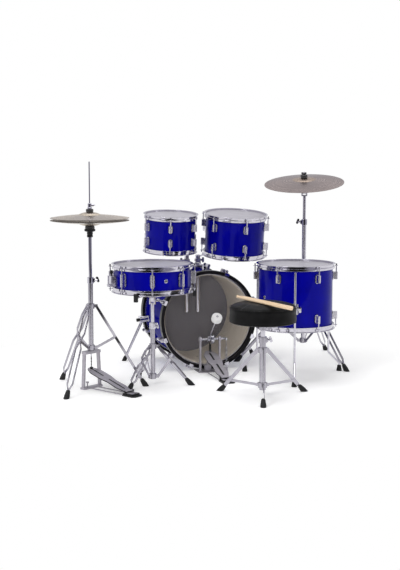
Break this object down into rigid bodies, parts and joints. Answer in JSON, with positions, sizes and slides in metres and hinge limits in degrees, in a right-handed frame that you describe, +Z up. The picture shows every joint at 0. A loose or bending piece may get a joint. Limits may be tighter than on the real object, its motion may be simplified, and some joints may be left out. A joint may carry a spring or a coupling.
{
  "type": "acoustic drum kit",
  "caption": "Acoustic drum kit with a bass drum, rack toms, a floor tom, a snare on its stand, a hi-hat, a crash cymbal, a bass pedal and a round throne with sticks.",
  "frame": {"origin": "on the floor, below the middle of the whole kit", "axes": "+X to the drummer's right, +Y away from the drummer along the bass drum, +Z up"},
  "size_m": [1.6243, 1.3631, 1.043],
  "materials": {
    "blue_lacquer": "gloss lacquer over wood ply",
    "smoky_head": "clear smoky polyester film",
    "dark_head": "black polyester film",
    "clear_head": "thin translucent polyester film",
    "black_wood": "gloss black lacquer",
    "chrome": "polished chrome plate",
    "steel": "plain bright steel",
    "painted_steel": "black paint",
    "cast_alloy": "satin cast alloy",
    "bronze": "lathed cymbal bronze",
    "black_rubber": "matt",
    "black_felt": "pressed felt",
    "white_felt": "pressed felt",
    "black_strap": "woven strap",
    "black_vinyl": "soft grained vinyl",
    "maple": "clear satin lacquer"
  },
  "bodies": {
    "kit": {"bass_shell": "blue_lacquer", "bass_batter_head": "smoky_head", "bass_resonant_head": "dark_head", "bass_hoops": "black_wood", "bass_tension_hardware": "chrome", "bass_brackets": "chrome", "floor_tom_legs": "chrome", "snare_stand_tripod": "chrome", "hihat_tripod": "chrome", "hihat_base_frame": "steel", "crash_tripod": "chrome", "throne_tripod": "chrome", "pedal_frame": "steel", "pedal_spring": "steel", "pedal_strap": "black_strap", "rubber_feet": "black_rubber"},
    "spur_left": {"bass_spur_left": "chrome"},
    "spur_right": {"bass_spur_right": "chrome"},
    "holder_left": {"tom_left_holder": "chrome"},
    "holder_right": {"tom_right_holder": "chrome"},
    "tom_left": {"tom_left_mount": "chrome", "tom_left_shell": "blue_lacquer", "tom_left_hoops": "chrome", "tom_left_heads": "clear_head", "tom_left_tension_hardware": "chrome"},
    "tom_right": {"tom_right_mount": "chrome", "tom_right_shell": "blue_lacquer", "tom_right_hoops": "chrome", "tom_right_heads": "clear_head", "tom_right_tension_hardware": "chrome"},
    "floor_tom": {"floor_tom_shell": "blue_lacquer", "floor_tom_hoops": "chrome", "floor_tom_heads": "clear_head", "floor_tom_tension_hardware": "chrome"},
    "snare_post": {"snare_stand_upper_tube": "chrome"},
    "snare": {"snare_basket": "chrome", "snare_shell": "blue_lacquer", "snare_hoops": "chrome", "snare_heads": "clear_head", "snare_tension_hardware": "chrome", "snare_strainer": "chrome", "snare_wires": "steel"},
    "snare_lever": {"snare_strainer_lever": "chrome"},
    "hihat_post": {"hihat_upper_tube": "chrome", "hihat_bottom_cymbal": "bronze"},
    "hihat_rod": {"hihat_pull_rod": "steel"},
    "hihat_top": {"hihat_clutch": "chrome", "hihat_top_cymbal": "bronze"},
    "hihat_board": {"hihat_footboard": "cast_alloy"},
    "crash_post": {"crash_upper_tube": "chrome"},
    "crash_head": {"crash_tilter": "chrome", "crash_felts": "black_felt"},
    "crash": {"crash_cymbal": "bronze"},
    "pedal_board": {"pedal_footboard": "cast_alloy"},
    "pedal_striker": {"pedal_axle_cam": "steel", "pedal_beater": "white_felt"},
    "throne_column": {"throne_post": "chrome"},
    "throne_top": {"throne_seat_bracket": "painted_steel", "throne_seat": "black_vinyl", "drumsticks": "maple"}
  },
  "joints": [
    {"name": "spur_left_fold", "type": "hinge", "parent": "kit", "child": "spur_left", "pos_m": [-0.24896, 0.5793, 0.21689], "axis": [0.9925, 0, 0.1219], "range_deg": [0, 90]},
    {"name": "spur_right_fold", "type": "hinge", "parent": "kit", "child": "spur_right", "pos_m": [0.29356, 0.5793, 0.21689], "axis": [0.9925, 0, -0.1219], "range_deg": [0, 90]},
    {"name": "tom_left_height", "type": "slide", "parent": "kit", "child": "holder_left", "axis": [0, 0, 1], "range_m": [0, 0.08]},
    {"name": "tom_right_height", "type": "slide", "parent": "kit", "child": "holder_right", "axis": [0, 0, 1], "range_m": [0, 0.02]},
    {"name": "tom_left_tilt", "type": "hinge", "parent": "holder_left", "child": "tom_left", "pos_m": [-0.0157, 0.5243, 0.524], "axis": [1, 0, 0], "range_deg": [-10, 10]},
    {"name": "tom_right_tilt", "type": "hinge", "parent": "holder_right", "child": "tom_right", "pos_m": [0.0443, 0.5243, 0.524], "axis": [1, 0, 0], "range_deg": [-10, 10]},
    {"name": "floor_tom_height", "type": "slide", "parent": "kit", "child": "floor_tom", "axis": [0, 0, 1], "range_m": [0, 0.1]},
    {"name": "snare_height", "type": "slide", "parent": "kit", "child": "snare_post", "axis": [0, 0, 1], "range_m": [-0.05, 0.08]},
    {"name": "snare_tilt", "type": "hinge", "parent": "snare_post", "child": "snare", "pos_m": [-0.3397, -0.0157, 0.398], "axis": [0.7976, -0.6032, 0], "range_deg": [-12, 12]},
    {"name": "snare_strainer_throw", "type": "hinge", "parent": "snare", "child": "snare_lever", "pos_m": [-0.554, -0.04505, 0.479], "axis": [0.1357, -0.9907, 0], "range_deg": [0, 100]},
    {"name": "hihat_height", "type": "slide", "parent": "kit", "child": "hihat_post", "axis": [0, 0, 1], "range_m": [-0.12, 0]},
    {"name": "hihat_press", "type": "hinge", "parent": "kit", "child": "hihat_board", "pos_m": [-0.50594, -0.21411, 0.017], "axis": [-0.8517, -0.524, 0], "range_deg": [0, 2.25]},
    {"name": "hihat_pull", "type": "slide", "parent": "kit", "child": "hihat_rod", "axis": [0, 0, -1], "range_m": [0, 0.0095], "stiffness_N_per_m": 2000, "springref_m": -0.03},
    {"name": "hihat_clutch_slide", "type": "slide", "parent": "hihat_rod", "child": "hihat_top", "axis": [0, 0, 1], "range_m": [0, 0.12]},
    {"name": "crash_height", "type": "slide", "parent": "kit", "child": "crash_post", "axis": [0, 0, 1], "range_m": [-0.1, 0.2]},
    {"name": "crash_tilt", "type": "hinge", "parent": "crash_post", "child": "crash_head", "pos_m": [0.5603, 0.3423, 0.874], "axis": [0.8358, -0.549, 0], "range_deg": [-35, 40]},
    {"name": "crash_spin", "type": "hinge", "parent": "crash_head", "child": "crash", "pos_m": [0.5603, 0.3423, 0.874], "axis": [-0.109, -0.1659, 0.9801], "continuous": true},
    {"name": "pedal_press", "type": "hinge", "parent": "kit", "child": "pedal_board", "pos_m": [0.0083, -0.0477, 0.017], "axis": [-1, 0, 0], "range_deg": [0, 6]},
    {"name": "pedal_strike", "type": "hinge", "parent": "kit", "child": "pedal_striker", "pos_m": [0.0083, 0.1983, 0.163], "axis": [-1, 0, 0], "range_deg": [0, 64.2], "stiffness_Nm_per_rad": 0.8, "springref_deg": -34.38, "deforming": ["pedal_spring", "pedal_strap"]},
    {"name": "throne_height", "type": "slide", "parent": "kit", "child": "throne_column", "axis": [0, 0, 1], "range_m": [-0.02, 0.1]},
    {"name": "throne_swivel", "type": "hinge", "parent": "throne_column", "child": "throne_top", "pos_m": [0.0635, -0.4115, 0.333], "axis": [0, 0, 1], "continuous": true}
  ],
  "couplings": [
    {"joint": "hihat_pull", "follows": "hihat_press", "m_per_rad": 0.24},
    {"joint": "pedal_strike", "follows": "pedal_press", "ratio": 10.7}
  ]
}
